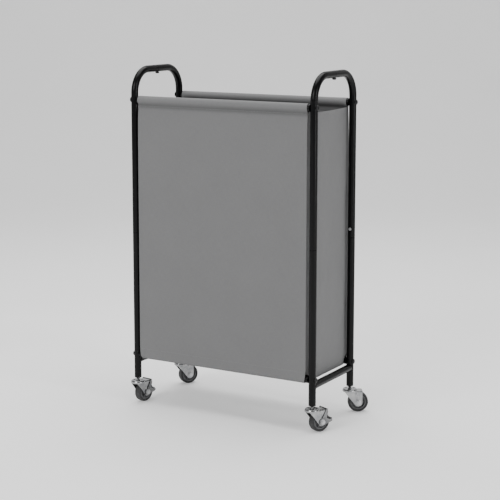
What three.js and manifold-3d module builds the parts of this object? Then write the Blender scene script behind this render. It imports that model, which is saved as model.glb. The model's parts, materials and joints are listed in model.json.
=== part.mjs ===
// Rolling laundry sorter: a knock-down frame of bent steel tube on four swivel stem casters,
// with a fabric bag of three compartments hung on rails at its top and bottom.
// Millimetres, +Z up, +X to the sorter's right, -Y to its front.
// The origin is on the floor, under the middle of the whole object.
import * as THREE from "three";
import { mergeVertices } from "three/addons/utils/BufferGeometryUtils.js";
import Module from "manifold-3d";

// ---- Driving dimensions -------------------------------------------------------------------
const GAP = 0.3; // between pieces that touch

// Frame
const POST_X = 245; // post axes, half the spacing across the width
const POST_Y = 98.5; // post axes, half the spacing across the depth
const TUBE_R = 8.8;
const TUBE_WALL = 1.2;
const TUBE_SIDES = 12;
const POST_END_Z = 64.5; // lower end of the posts
const SEAM_Z = 433; // joint between a lower post and its arch tube
const ARCH_TOP_Z = 837;
const BEND_R = 56; // of the tube's centreline
const BEND_STEPS = 6;
const SPIGOT_R = 7.1;
const SPIGOT_LENGTH = 40;
const ARCH_SEAM_Y = -8; // where the front and rear arch tubes meet
const ARCH_SPIGOT_LENGTH = 26;
const TOP_RAIL_Z = 757;
const BOTTOM_RAIL_Z = 126;
const CROSSBAR_Z = 111;
const RAIL_PLUG_LENGTH = 12;
const POST_PLUG_LENGTH = 20;

// Fasteners and spring buttons
const SCREW_HOLE_R = 2.8;
const SCREW_SHANK_R = 2.3;
const RAIL_SCREW_HEAD_R = 6.2;
const RAIL_SCREW_HEAD_HEIGHT = 2.6;
const ARCH_SCREW_HEAD_R = 5.2;
const ARCH_SCREW_HEAD_HEIGHT = 4.4;
const RAIL_SCREW_LENGTH = 31.6; // through the post and into the rail's plug
const ARCH_SCREW_LENGTH = 8;
const SMALL_SIDES = 10; // facets round a screw, a stem or a hole for one
const BUTTON_Z = 453;
const BUTTON_R = 3.5;
const BUTTON_HOLE_R = 4;
const BUTTON_STANDS_OUT = 2.6;

// Casters, in a frame whose +X is the direction that the wheel trails in
const WHEEL_R = 25;
const WHEEL_WIDTH = 18;
const WHEEL_SEGMENTS = 24;
const TRAIL = 20; // from the swivel axis back to the axle
const AXLE_R = 4;
const RUNNING_CLEARANCE = 0.6;
const FORK_INSIDE = 20.6; // between the two legs
const FORK_WALL = 2.2;
const FORK_CROWN_Z = 52; // underside of the crown
const FORK_LEG_END_R = 10;
const FORK_LEADING_X = -13;
const RACE_R = 18.2;
const RACE_TOP_Z = 57.8;
const STEM_R = 4.3;
const PEDAL_WALL = 1.5;
const PEDAL_INSIDE = 26; // between the two arms, outside the fork legs
const PEDAL_BOSS_R = 8.5;
const PEDAL_LIP_IN = 0.4; // from an arm's outer face in to the ends of the lip and bar
const TAB_HALF_WIDTH = 10;
const LEAF_WALL = 0.8;
const LEAF_HALF_WIDTH = 6;
const LEAF_SPAN = [0.6, 1.48]; // about the axle, from the trailing direction up
const CASTER_AZIMUTH = { front_left: 81, front_right: 63.5, rear_right: 33, rear_left: 58.5 };

// Bag
const FABRIC = 1.2;
const BAG_HALF_WIDTH = 231;
const SLEEVE_R = 9.3; // inside of a sleeve
const SLEEVE_STITCH = 17; // from the rail's axis to the sleeve's stitch line
const GUSSET_TOP_Z = 743;
const GUSSET_BOTTOM_Z = 116.6;
const CORNER_RISE = 24; // of the cut-away corners of gussets and dividers
const BOTTOM_PANEL_Z = 118; // its underside
const COMPARTMENTS = 3;

// ---- Materials ----------------------------------------------------------------------------
function material(color, roughness, metalness) {
  return new THREE.MeshStandardMaterial({ color, roughness, metalness });
}
const BLACK_COAT = material(0x1c1c1d, 0.42, 0.3);
const BLACK_SCREW = material(0x232324, 0.38, 0.6);
const ZINC = material(0xc9ccd0, 0.28, 1);
const STEEL = material(0xa9adb2, 0.35, 1);
const RUBBER = material(0x2f3032, 0.7, 0);
const HUB_PLASTIC = material(0x55575a, 0.5, 0);
const GREY_FABRIC = material(0x828282, 0.9, 0);

// ---- Solids -------------------------------------------------------------------------------
const wasm = await Module();
wasm.setup();

// A geometry as a manifold-3d solid, with its shared vertices merged.
function solid(geometry) {
  const plain = geometry.clone();
  plain.deleteAttribute("normal");
  plain.deleteAttribute("uv");
  const merged = mergeVertices(plain, 1e-4);
  const index = merged.index.array;
  const triangles = [];
  for (let i = 0; i < index.length; i += 3) {
    const [a, b, c] = [index[i], index[i + 1], index[i + 2]];
    if (a !== b && b !== c && c !== a) triangles.push(a, b, c);
  }
  return new wasm.Manifold(
    new wasm.Mesh({
      numProp: 3,
      vertProperties: merged.attributes.position.array,
      triVerts: new Uint32Array(triangles),
    }),
  );
}

function geometryOf(made) {
  const { vertProperties, triVerts } = made.getMesh();
  const geometry = new THREE.BufferGeometry();
  geometry.setAttribute("position", new THREE.BufferAttribute(vertProperties, 3));
  geometry.setIndex(new THREE.BufferAttribute(triVerts, 1));
  geometry.computeVertexNormals();
  return geometry;
}

function cut(geometry, ...tools) {
  return geometryOf(tools.reduce((kept, tool) => kept.subtract(solid(tool)), solid(geometry)));
}

function join(first, ...others) {
  return geometryOf(others.reduce((made, other) => made.add(solid(other)), solid(first)));
}

// A turned piece about +Z. The profile is a list of [radius, height], in either direction.
function turned(profile, sides = TUBE_SIDES, start = 0) {
  let twiceArea = 0;
  profile.forEach(([r, h], i) => {
    const [nextR, nextH] = profile[(i + 1) % profile.length];
    twiceArea += r * nextH - nextR * h;
  });
  const points = profile.map(([r, h]) => new THREE.Vector2(r, h));
  if (twiceArea < 0) points.reverse();
  if (points.every((p) => p.x > 0)) points.push(points[0].clone());
  return new THREE.LatheGeometry(points, sides, start).rotateX(Math.PI / 2);
}

function rod(radius, from, to, sides = TUBE_SIDES) {
  return new THREE.CylinderGeometry(radius, radius, to - from, sides)
    .rotateX(Math.PI / 2)
    .translate(0, 0, (from + to) / 2);
}

function block(x0, x1, y0, y1, z0, z1) {
  return new THREE.BoxGeometry(x1 - x0, y1 - y0, z1 - z0)
    .translate((x0 + x1) / 2, (y0 + y1) / 2, (z0 + z1) / 2);
}

// An outline in X and Z, given thickness from y0 to y1.
function plate(shape, y0, y1, curveSegments = 6) {
  return new THREE.ExtrudeGeometry(shape, { depth: y1 - y0, bevelEnabled: false, curveSegments })
    .rotateX(Math.PI / 2)
    .translate(0, y1, 0);
}

function ring(outer, inner) {
  const shape = new THREE.Shape().absarc(0, 0, outer, 0, 2 * Math.PI, false);
  shape.holes.push(new THREE.Path().absarc(0, 0, inner, 0, 2 * Math.PI, true));
  return shape;
}

const alongX = (geometry) => geometry.rotateY(Math.PI / 2);
const alongY = (geometry) => geometry.rotateX(-Math.PI / 2);

// ---- The group ----------------------------------------------------------------------------
const model = new THREE.Group();

function add(name, geometry, look, parent = model) {
  const mesh = new THREE.Mesh(geometry, look);
  mesh.name = name;
  parent.add(mesh);
  return mesh;
}

const SIDES = [
  { side: "left", x: -1 },
  { side: "right", x: 1 },
];
const ENDS = [
  { end: "front", y: -1 },
  { end: "rear", y: 1 },
];
const CORNERS = ENDS.flatMap(({ end, y }) =>
  SIDES.map(({ side, x }) => ({ name: `${end}_${side}`, x: x * POST_X, y: y * POST_Y, end })),
);

// ---- Frame tubes --------------------------------------------------------------------------
// One quarter bend between two straight runs, in the plane x = 0, from the foot of an arch tube
// to the top of the arch. Equal steps of t give one step for each straight run.
class ArchLine extends THREE.Curve {
  constructor(reach) {
    super();
    this.reach = reach; // horizontal distance from the post's axis to the tube's end
  }
  getPoint(t, target = new THREE.Vector3()) {
    const step = 1 / (BEND_STEPS + 2);
    const bendZ = ARCH_TOP_Z - TUBE_R - BEND_R;
    if (t <= step) return target.set(0, 0, SEAM_Z + (t / step) * (bendZ - SEAM_Z));
    const turn = Math.min(1, (t - step) / (1 - 2 * step)) * (Math.PI / 2);
    const run = Math.max(0, (t - 1 + step) / step) * (this.reach - BEND_R);
    return target.set(0, BEND_R * (1 - Math.cos(turn)) + run, bendZ + BEND_R * Math.sin(turn));
  }
  getTangent(t, target = new THREE.Vector3()) {
    const step = 1 / (BEND_STEPS + 2);
    const turn = Math.min(1, Math.max(0, (t - step) / (1 - 2 * step))) * (Math.PI / 2);
    return target.set(0, Math.sin(turn), Math.cos(turn));
  }
  getPointAt(u, target) {
    return this.getPoint(u, target);
  }
  getTangentAt(u, target) {
    return this.getTangent(u, target);
  }
}

const crossHole = (radius, z) => alongX(rod(radius, -2 * TUBE_R, 2 * TUBE_R, 8)).translate(0, 0, z);
const buttonHole = () => alongY(rod(BUTTON_HOLE_R, 0, 2 * TUBE_R, SMALL_SIDES)).translate(0, 0, BUTTON_Z);

// An arch tube on the axis of its post, bending towards +Y.
function archTube(isFront) {
  const reach = isFront ? POST_Y + ARCH_SEAM_Y - GAP / 2 : POST_Y - ARCH_SEAM_Y - GAP / 2;
  const tube = new THREE.ExtrudeGeometry(ring(TUBE_R, TUBE_R - TUBE_WALL), {
    steps: BEND_STEPS + 2,
    curveSegments: TUBE_SIDES / 2,
    extrudePath: new ArchLine(reach),
  });
  const armZ = ARCH_TOP_Z - TUBE_R;
  const screwHole = rod(SCREW_HOLE_R, armZ - 2 * TUBE_R, armZ, 8).translate(0, POST_Y, 0);
  let made = solid(tube);
  if (isFront) {
    const neck = TUBE_R - TUBE_WALL / 2;
    const bore = SPIGOT_R - TUBE_WALL;
    const spigot = turned([
      [bore, -4],
      [neck, -4],
      [neck, -0.5],
      [SPIGOT_R, 0.5],
      [SPIGOT_R, ARCH_SPIGOT_LENGTH],
      [bore, ARCH_SPIGOT_LENGTH],
    ]);
    made = made.add(solid(alongY(spigot).translate(0, reach, armZ)));
  }
  return geometryOf(
    made
      .subtract(solid(screwHole))
      .subtract(solid(crossHole(SCREW_HOLE_R, TOP_RAIL_Z)))
      .subtract(solid(buttonHole())),
  );
}

// A lower post with its pressed-in stem nut and the narrowed end that enters the arch tube.
function lowerPost() {
  const bore = TUBE_R - TUBE_WALL;
  const stemHole = STEM_R + GAP;
  const profile = [
    [stemHole, POST_END_Z],
    [TUBE_R - 1, POST_END_Z],
    [TUBE_R, POST_END_Z + 1],
    [TUBE_R, SEAM_Z - GAP - 0.8],
    [SPIGOT_R, SEAM_Z - GAP],
    [SPIGOT_R, SEAM_Z + SPIGOT_LENGTH],
    [SPIGOT_R - TUBE_WALL, SEAM_Z + SPIGOT_LENGTH],
    [SPIGOT_R - TUBE_WALL, SEAM_Z],
    [bore, SEAM_Z - 6],
    [bore, POST_END_Z + POST_PLUG_LENGTH],
    [stemHole, POST_END_Z + POST_PLUG_LENGTH],
  ];
  return cut(turned(profile), crossHole(SCREW_HOLE_R, BOTTOM_RAIL_Z), buttonHole());
}

// A crossbar along Y whose ends are shaped to the posts they are welded to.
function crossbar() {
  const bore = TUBE_R - TUBE_WALL;
  const tube = turned([
    [bore, -POST_Y],
    [TUBE_R, -POST_Y],
    [TUBE_R, POST_Y],
    [bore, POST_Y],
  ]);
  const post = () => rod(TUBE_R + GAP, -2 * TUBE_R, 2 * TUBE_R, 2 * TUBE_SIDES);
  return cut(alongY(tube), post().translate(0, -POST_Y, 0), post().translate(0, POST_Y, 0));
}

// A rail along X with a threaded plug in each end.
function rail() {
  const end = POST_X - TUBE_R - GAP;
  const plug = end - RAIL_PLUG_LENGTH;
  const bore = TUBE_R - TUBE_WALL;
  const profile = [
    [SCREW_HOLE_R, -end],
    [TUBE_R, -end],
    [TUBE_R, end],
    [SCREW_HOLE_R, end],
    [SCREW_HOLE_R, plug],
    [bore, plug],
    [bore, -plug],
    [SCREW_HOLE_R, -plug],
  ];
  return alongX(turned(profile, 16));
}

// A domed screw whose shank runs from z = -length to 0 and whose head stands on z = 0.
function screw(headR, headHeight, length) {
  const profile = [
    [0, -length],
    [SCREW_SHANK_R, -length],
    [SCREW_SHANK_R, 0],
    [headR, 0],
    [headR, headHeight * 0.3],
    [headR * 0.78, headHeight * 0.8],
    [headR * 0.4, headHeight],
    [0, headHeight],
  ];
  return turned(profile, SMALL_SIDES);
}

// A snap button along +Y: its pin stands out of the tube, and the arm of its spring is inside.
function springButton() {
  const tip = TUBE_R + BUTTON_STANDS_OUT;
  const pin = turned([
    [0, 3],
    [BUTTON_R, 3],
    [BUTTON_R, tip - 1],
    [BUTTON_R - 1, tip],
    [0, tip],
  ], 16);
  return join(alongY(pin), block(-2.6, 2.6, 2.4, 3.2, -24, 3.6));
}

for (const { name, x, y, end } of CORNERS) {
  const isFront = end === "front";
  const facing = isFront ? 0 : Math.PI; // arch tubes and buttons of the rear posts face -Y
  const tube = add(`arch_tube_${name}`, archTube(isFront), BLACK_COAT);
  tube.position.set(x, y, 0);
  tube.rotation.z = facing;
  const post = add(`lower_post_${name}`, lowerPost(), BLACK_COAT);
  post.position.set(x, y, 0);
  post.rotation.z = facing;
  const button = add(`spring_button_${name}`, springButton(), STEEL);
  button.position.set(x, y, BUTTON_Z);
  button.rotation.z = facing;
}

for (const { side, x } of SIDES) {
  add(`crossbar_${side}`, crossbar(), BLACK_COAT).position.set(x * POST_X, 0, CROSSBAR_Z);
  const archScrew = screw(ARCH_SCREW_HEAD_R, ARCH_SCREW_HEAD_HEIGHT, ARCH_SCREW_LENGTH).rotateX(Math.PI);
  const headSeat = ARCH_TOP_Z - 2 * TUBE_R - GAP;
  add(`arch_screw_${side}`, archScrew, BLACK_SCREW).position.set(x * POST_X, 0, headSeat);
}

for (const [level, z] of [["top", TOP_RAIL_Z], ["bottom", BOTTOM_RAIL_Z]]) {
  for (const { end, y } of ENDS) {
    add(`${level}_rail_${end}`, rail(), BLACK_COAT).position.set(0, y * POST_Y, z);
    for (const { side, x } of SIDES) {
      const turnedOut = screw(RAIL_SCREW_HEAD_R, RAIL_SCREW_HEAD_HEIGHT, RAIL_SCREW_LENGTH);
      const head = add(`rail_screw_${level}_${end}_${side}`, alongX(turnedOut), BLACK_SCREW);
      head.position.set(x * (POST_X + TUBE_R + GAP), y * POST_Y, z);
      head.rotation.z = x > 0 ? 0 : Math.PI;
    }
  }
}

// ---- Casters ------------------------------------------------------------------------------
const AXLE_Z = WHEEL_R;
const FORK_OUTSIDE = FORK_INSIDE / 2 + FORK_WALL;
const PEDAL_OUTSIDE = PEDAL_INSIDE / 2 + PEDAL_WALL;

// The swivel pin: riveted under the fork, and threaded into the post's nut above it.
function casterStem() {
  const profile = [
    [0, FORK_CROWN_Z - 4],
    [6, FORK_CROWN_Z - 4],
    [7.2, FORK_CROWN_Z - 2.5],
    [7.2, FORK_CROWN_Z - 0.6],
    [AXLE_R, FORK_CROWN_Z - 0.6],
    [AXLE_R, RACE_TOP_Z + 0.4],
    [STEM_R, RACE_TOP_Z + 0.8],
    [STEM_R, POST_END_Z + POST_PLUG_LENGTH - 3],
    [STEM_R - 1, POST_END_Z + POST_PLUG_LENGTH - 2],
    [0, POST_END_Z + POST_PLUG_LENGTH - 2],
  ];
  return turned(profile, SMALL_SIDES);
}

// A fork leg: round at the axle, upright behind it, and slanting to the crown in front of it.
function legShape() {
  const top = FORK_CROWN_Z + FORK_WALL;
  const toLead = new THREE.Vector2(FORK_LEADING_X - TRAIL, FORK_CROWN_Z - 2 - AXLE_Z);
  const tangent = toLead.angle() + Math.acos(FORK_LEG_END_R / toLead.length());
  return new THREE.Shape()
    .moveTo(FORK_LEADING_X, FORK_CROWN_Z - 2)
    .absarc(TRAIL, AXLE_Z, FORK_LEG_END_R, tangent, 2 * Math.PI, false)
    .lineTo(TRAIL + FORK_LEG_END_R, top)
    .lineTo(FORK_LEADING_X, top);
}

// The fork: two legs, the crown between them and the round ball race pressed on top.
function casterFork() {
  const hole = AXLE_R + RUNNING_CLEARANCE;
  const race = turned([
    [hole, FORK_CROWN_Z + 0.5],
    [RACE_R - 1.8, FORK_CROWN_Z + 0.5],
    [RACE_R, FORK_CROWN_Z - 0.8],
    [RACE_R, RACE_TOP_Z - 3],
    [RACE_R - 2.6, RACE_TOP_Z],
    [RACE_R - 5.6, RACE_TOP_Z],
    [RACE_R - 8.4, RACE_TOP_Z - 1.6],
    [hole, RACE_TOP_Z - 1.6],
  ], 18);
  const trailing = TRAIL + FORK_LEG_END_R;
  const crownTop = FORK_CROWN_Z + FORK_WALL;
  const crown = block(FORK_LEADING_X, trailing, -FORK_OUTSIDE, FORK_OUTSIDE, FORK_CROWN_Z, crownTop);
  const leg = plate(legShape(), FORK_INSIDE / 2, FORK_OUTSIDE);
  const otherLeg = plate(legShape(), -FORK_OUTSIDE, -FORK_INSIDE / 2);
  const axleHole = alongY(rod(AXLE_R + GAP, -WHEEL_R, WHEEL_R, SMALL_SIDES)).translate(TRAIL, 0, AXLE_Z);
  const pinHole = rod(hole, FORK_CROWN_Z - 5, RACE_TOP_Z + 5, SMALL_SIDES);
  return cut(join(crown, leg, otherLeg, race), axleHole, pinHole);
}

// The axle bolt along Y, with a domed head at one end and a nut at the other.
function axle(halfLength) {
  const profile = [
    [0, -halfLength - 4.6],
    [4.5, -halfLength - 4.6],
    [6.2, -halfLength - 3.6],
    [6.2, -halfLength - GAP],
    [AXLE_R, -halfLength - GAP],
    [AXLE_R, halfLength + GAP],
    [6.6, halfLength + GAP],
    [6.6, halfLength + 2.6],
    [4.6, halfLength + 3.8],
    [0, halfLength + 3.8],
  ];
  return alongY(turned(profile, 12));
}

function wheelHub() {
  const bore = AXLE_R + RUNNING_CLEARANCE;
  const rim = WHEEL_R - 6.1;
  const half = WHEEL_WIDTH / 2;
  const profile = [
    [bore, -half - 0.6],
    [8, -half - 0.6],
    [8.6, -half + 4.5],
    [rim - 3.4, -half + 4.5],
    [rim - 2.2, -half + 1.4],
    [rim, -half + 1.4],
    [rim, half - 1.4],
    [rim - 2.2, half - 1.4],
    [rim - 3.4, half - 4.5],
    [8.6, half - 4.5],
    [8, half + 0.6],
    [bore, half + 0.6],
  ];
  return alongY(turned(profile, 16));
}

// A tyre with one of its flats turned down, so that it stands on the floor with that flat.
function tyre() {
  const step = (2 * Math.PI) / WHEEL_SEGMENTS;
  const outer = WHEEL_R / Math.cos(step / 2);
  const inner = WHEEL_R - 5.5;
  const half = WHEEL_WIDTH / 2;
  const profile = [
    [inner, -half + 1.4],
    [inner + 1.2, -half],
    [outer - 2.6, -half],
    [outer - 0.7, -half + 2],
    [outer, -half + 4.5],
    [outer, half - 4.5],
    [outer - 0.7, half - 2],
    [outer - 2.6, half],
    [inner + 1.2, half],
    [inner, half - 1.4],
  ];
  return alongY(turned(profile, WHEEL_SEGMENTS, step / 2));
}

// A pedal arm: one branch back to the foot tab, one up to the release lip behind the crown.
function pedalArmShape() {
  const [from, to] = [1.75, 5.24]; // the round of the boss between the two branches
  return new THREE.Shape()
    .absarc(TRAIL, AXLE_Z, PEDAL_BOSS_R, from, to, false)
    .lineTo(TRAIL + 22, AXLE_Z - 3)
    .lineTo(TRAIL + 28, AXLE_Z - 1.5)
    .lineTo(TRAIL + 28, AXLE_Z + 3.5)
    .lineTo(TRAIL + 20, AXLE_Z + 4.5)
    .lineTo(TRAIL + 12, AXLE_Z + 8)
    .lineTo(TRAIL + 15.8, AXLE_Z + 22)
    .lineTo(TRAIL + 14.8, AXLE_Z + 30.5)
    .lineTo(TRAIL + 11.6, AXLE_Z + 30.5)
    .lineTo(TRAIL + 7, AXLE_Z + 21);
}

function brakePedal() {
  const lipEnd = PEDAL_OUTSIDE - PEDAL_LIP_IN;
  const arm = plate(pedalArmShape(), PEDAL_INSIDE / 2, PEDAL_OUTSIDE);
  const otherArm = plate(pedalArmShape(), -PEDAL_OUTSIDE, -PEDAL_INSIDE / 2);
  const lip = block(
    TRAIL + 12.8, TRAIL + 14.3, -lipEnd, lipEnd, AXLE_Z + 25.5, AXLE_Z + 30.5,
  );
  const bar = block(
    TRAIL + 26.4, TRAIL + 27.9, -lipEnd, lipEnd, AXLE_Z - 1.2, AXLE_Z + 3.3,
  );
  const tab = new THREE.Shape()
    .moveTo(TRAIL + 26.6, AXLE_Z + 0.6)
    .lineTo(TRAIL + 31.4, AXLE_Z + 3.8)
    .lineTo(TRAIL + 30.6, AXLE_Z + 5)
    .lineTo(TRAIL + 26.6, AXLE_Z + 2.4);
  const hole = alongY(rod(AXLE_R + RUNNING_CLEARANCE, -WHEEL_R, WHEEL_R, SMALL_SIDES));
  const foot = plate(tab, -TAB_HALF_WIDTH, TAB_HALF_WIDTH);
  return cut(join(arm, otherArm, lip, bar, foot), hole.translate(TRAIL, 0, AXLE_Z));
}

// The spring leaf that the pedal presses on the tread: an arc from the crown down the wheel.
function brakeLeaf() {
  const inner = WHEEL_R + 1;
  const outer = inner + LEAF_WALL;
  const [low, high] = LEAF_SPAN;
  const shape = new THREE.Shape()
    .absarc(TRAIL, AXLE_Z, outer, low, high, false)
    .absarc(TRAIL, AXLE_Z, inner, high, low, true);
  return plate(shape, -LEAF_HALF_WIDTH, LEAF_HALF_WIDTH, 8);
}

for (const { name, x, y, end } of CORNERS) {
  const hasBrake = end === "front";
  const caster = new THREE.Group();
  caster.position.set(x, y, 0);
  caster.rotation.z = THREE.MathUtils.degToRad(CASTER_AZIMUTH[name]);
  model.add(caster);
  add(`caster_stem_${name}`, casterStem(), ZINC, caster);
  add(`caster_fork_${name}`, casterFork(), ZINC, caster);
  const outside = hasBrake ? PEDAL_OUTSIDE : FORK_OUTSIDE;
  add(`caster_axle_${name}`, axle(outside), STEEL, caster).position.set(TRAIL, 0, AXLE_Z);
  add(`wheel_hub_${name}`, wheelHub(), HUB_PLASTIC, caster).position.set(TRAIL, 0, AXLE_Z);
  add(`tyre_${name}`, tyre(), RUBBER, caster).position.set(TRAIL, 0, AXLE_Z);
  if (hasBrake) {
    add(`brake_pedal_${name}`, brakePedal(), ZINC, caster);
    add(`brake_leaf_${name}`, brakeLeaf(), STEEL, caster);
  }
}

// ---- Bag ----------------------------------------------------------------------------------
const SLEEVE_OUT = SLEEVE_R + FABRIC;
const PANEL_OUT = POST_Y + SLEEVE_OUT; // outer face of the front and back panels
const PANEL_IN = PANEL_OUT - FABRIC;

// Section of the front panel in Y and Z: a taut sheet with a sleeve round a rail at each edge.
function panelSection() {
  const closing = -0.9; // where the sleeve's turned-back edge leaves the rail for the sheet
  const shape = new THREE.Shape()
    .absarc(-POST_Y, TOP_RAIL_Z, SLEEVE_OUT, Math.PI, closing, true)
    .lineTo(-PANEL_IN, TOP_RAIL_Z - SLEEVE_STITCH)
    .lineTo(-PANEL_IN, BOTTOM_RAIL_Z + SLEEVE_STITCH)
    .absarc(-POST_Y, BOTTOM_RAIL_Z, SLEEVE_OUT, -closing, -Math.PI, true);
  for (const z of [TOP_RAIL_Z, BOTTOM_RAIL_Z])
    shape.holes.push(new THREE.Path().absarc(-POST_Y, z, SLEEVE_R, 0, 2 * Math.PI, false));
  return shape;
}

function bagPanel() {
  const width = 2 * BAG_HALF_WIDTH;
  return new THREE.ExtrudeGeometry(panelSection(), {
    depth: width,
    bevelEnabled: false,
    curveSegments: 8,
  })
    .rotateX(Math.PI / 2)
    .rotateZ(Math.PI / 2)
    .translate(-BAG_HALF_WIDTH, 0, 0);
}

// A gusset or divider in the plane x = 0, cut away at its corners for the rails' sleeves.
function crossSheet(bottomZ) {
  const half = PANEL_IN - GAP;
  const narrow = POST_Y - SLEEVE_OUT - GAP; // between the sleeves
  const shape = new THREE.Shape()
    .moveTo(-narrow, bottomZ)
    .lineTo(narrow, bottomZ)
    .lineTo(narrow, BOTTOM_RAIL_Z + CORNER_RISE / 2)
    .lineTo(half, BOTTOM_RAIL_Z + CORNER_RISE)
    .lineTo(half, GUSSET_TOP_Z - CORNER_RISE / 2)
    .lineTo(narrow, GUSSET_TOP_Z)
    .lineTo(-narrow, GUSSET_TOP_Z)
    .lineTo(-half, GUSSET_TOP_Z - CORNER_RISE / 2)
    .lineTo(-half, BOTTOM_RAIL_Z + CORNER_RISE)
    .lineTo(-narrow, BOTTOM_RAIL_Z + CORNER_RISE / 2);
  return new THREE.ExtrudeGeometry(shape, { depth: FABRIC, bevelEnabled: false })
    .rotateX(Math.PI / 2)
    .rotateZ(Math.PI / 2)
    .translate(-FABRIC / 2, 0, 0);
}

add("bag_front_panel", bagPanel(), GREY_FABRIC);
add("bag_back_panel", bagPanel(), GREY_FABRIC).rotation.z = Math.PI;
for (const { side, x } of SIDES) {
  const gusset = add(`bag_gusset_${side}`, crossSheet(GUSSET_BOTTOM_Z), GREY_FABRIC);
  gusset.position.x = x * (BAG_HALF_WIDTH - FABRIC / 2);
  const overFloor = BOTTOM_PANEL_Z + FABRIC + GAP;
  const divider = add(`bag_divider_${side}`, crossSheet(overFloor), GREY_FABRIC);
  divider.position.x = x * (BAG_HALF_WIDTH / COMPARTMENTS);
}
const floorX = BAG_HALF_WIDTH - FABRIC - GAP;
const floorY = POST_Y - SLEEVE_OUT - GAP;
const floorTop = BOTTOM_PANEL_Z + FABRIC;
const bagFloor = block(-floorX, floorX, -floorY, floorY, BOTTOM_PANEL_Z, floorTop);
add("bag_bottom", bagFloor, GREY_FABRIC);

// The casters trail in different directions, so the middle of the whole is off the posts' middle.
const whole = new THREE.Box3().setFromObject(model, true);
const middle = whole.getCenter(new THREE.Vector3());
model.position.set(-middle.x, -middle.y, 0);

const sorter = new THREE.Group();
sorter.add(model);
export default sorter;
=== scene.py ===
"""The looks of the rolling laundry sorter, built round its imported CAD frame.

Every piece is made in the row frame, in metres, and rides on a CAD body by name. The frame's tubes,
the casters and the bag each have a section. The tubes are made in metres, the casters and the bag
in millimetres and then scaled into place.
"""

import json
import math
import random

import bmesh
import bpy
import numpy as np
from mathutils import Matrix, Vector, noise
from mathutils.bvhtree import BVHTree

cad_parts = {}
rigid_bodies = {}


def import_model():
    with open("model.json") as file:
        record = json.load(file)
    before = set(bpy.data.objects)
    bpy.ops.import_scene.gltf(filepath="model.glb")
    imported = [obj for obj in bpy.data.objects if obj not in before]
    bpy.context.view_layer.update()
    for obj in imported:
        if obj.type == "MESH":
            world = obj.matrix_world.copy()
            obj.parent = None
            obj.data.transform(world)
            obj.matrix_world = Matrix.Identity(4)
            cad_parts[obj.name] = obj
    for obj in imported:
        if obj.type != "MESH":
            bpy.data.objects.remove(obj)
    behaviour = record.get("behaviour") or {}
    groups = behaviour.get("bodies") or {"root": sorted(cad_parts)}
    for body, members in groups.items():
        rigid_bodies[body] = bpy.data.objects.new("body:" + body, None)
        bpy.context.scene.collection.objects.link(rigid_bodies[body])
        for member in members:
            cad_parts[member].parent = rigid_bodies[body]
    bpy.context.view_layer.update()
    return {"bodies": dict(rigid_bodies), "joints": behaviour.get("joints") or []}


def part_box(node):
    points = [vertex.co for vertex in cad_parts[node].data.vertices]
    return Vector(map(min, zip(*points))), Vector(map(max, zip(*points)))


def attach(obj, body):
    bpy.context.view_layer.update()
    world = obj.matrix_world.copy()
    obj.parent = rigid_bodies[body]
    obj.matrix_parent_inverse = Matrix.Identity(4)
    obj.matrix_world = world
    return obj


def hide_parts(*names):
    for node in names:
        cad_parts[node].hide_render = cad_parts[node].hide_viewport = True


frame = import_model()

MM = 0.001
random.seed(11)

# ---- Places taken from the frame ----------------------------------------------------------
SIDES = (("left", -1), ("right", 1))
ENDS = (("front", -1), ("rear", 1))
CORNERS = [f"{end}_{side}" for end, _ in ENDS for side, _ in SIDES]
JOINTS = {j["name"]: j for j in frame["joints"]}


def middle(node):
    low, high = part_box(node)
    return (low + high) / 2


def linked(name, data):
    """A new object in the scene."""
    made = bpy.data.objects.new(name, data)
    bpy.context.scene.collection.objects.link(made)
    return made


POSTS = {c: middle(f"lower_post_{c}") for c in CORNERS}
CENTRE = sum(POSTS.values(), Vector()) / 4
CENTRE.z = 0
POST_LOW, POST_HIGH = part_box("lower_post_front_left")
TUBE_R = (POST_HIGH.x - POST_LOW.x) / 2
POST_END_Z = POST_LOW.z
ARCH_LOW, ARCH_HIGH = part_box("arch_tube_front_left")
SEAM_Z = ARCH_LOW.z
ARCH_TOP_Z = ARCH_HIGH.z
TOP_RAIL_Z = middle("top_rail_front").z
BOTTOM_RAIL_Z = middle("bottom_rail_front").z
CROSSBAR_Z = middle("crossbar_left").z
BAG_LOW, BAG_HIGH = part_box("bag_front_panel")
BAG_HALF = (BAG_HIGH.x - BAG_LOW.x) / 2
POST_Y = abs(POSTS["rear_left"].y - CENTRE.y)
POST_X = abs(POSTS["rear_right"].x - CENTRE.x)


# ---- Camera -------------------------------------------------------------------------------
# The place, the angles and the lens were fitted to the photo's posts, rails and wheels, with a
# shift small enough to leave the object in the frame of other views.
CAMERA_PLACE = CENTRE + Vector((1.7497, -2.9704, 1.0312))
CAMERA_YAW = math.radians(30.207)
CAMERA_PITCH = math.radians(8.785)
SENSOR_WIDTH = 36
LENS = 103.68
SHIFT = -0.085

camera_data = bpy.data.cameras.new("camera")
camera_data.sensor_width = SENSOR_WIDTH
camera_data.lens = LENS
camera_data.shift_y = SHIFT
camera = linked("camera", camera_data)
camera.location = CAMERA_PLACE
camera.rotation_euler = (math.pi / 2 - CAMERA_PITCH, 0, CAMERA_YAW)
bpy.context.scene.camera = camera


# ---- Materials ----------------------------------------------------------------------------
def rgba(colour):
    """A grey, or a red, green and blue, as an opaque colour."""
    return (*colour, 1) if hasattr(colour, "__len__") else (colour, colour, colour, 1)


def set_inputs(node, inputs):
    """Sets a node's inputs, by name or number, to values or to other nodes' outputs."""
    for key, value in inputs.items():
        socket = node.inputs[key]
        if isinstance(value, bpy.types.NodeSocket):
            node.id_data.links.new(value, socket)
        else:
            socket.default_value = rgba(value) if socket.type == "RGBA" else value


def shader_node(tree, kind, inputs, **settings):
    made = tree.nodes.new(kind)
    for key, value in settings.items():
        setattr(made, key, value)
    set_inputs(made, inputs)
    return made


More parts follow.
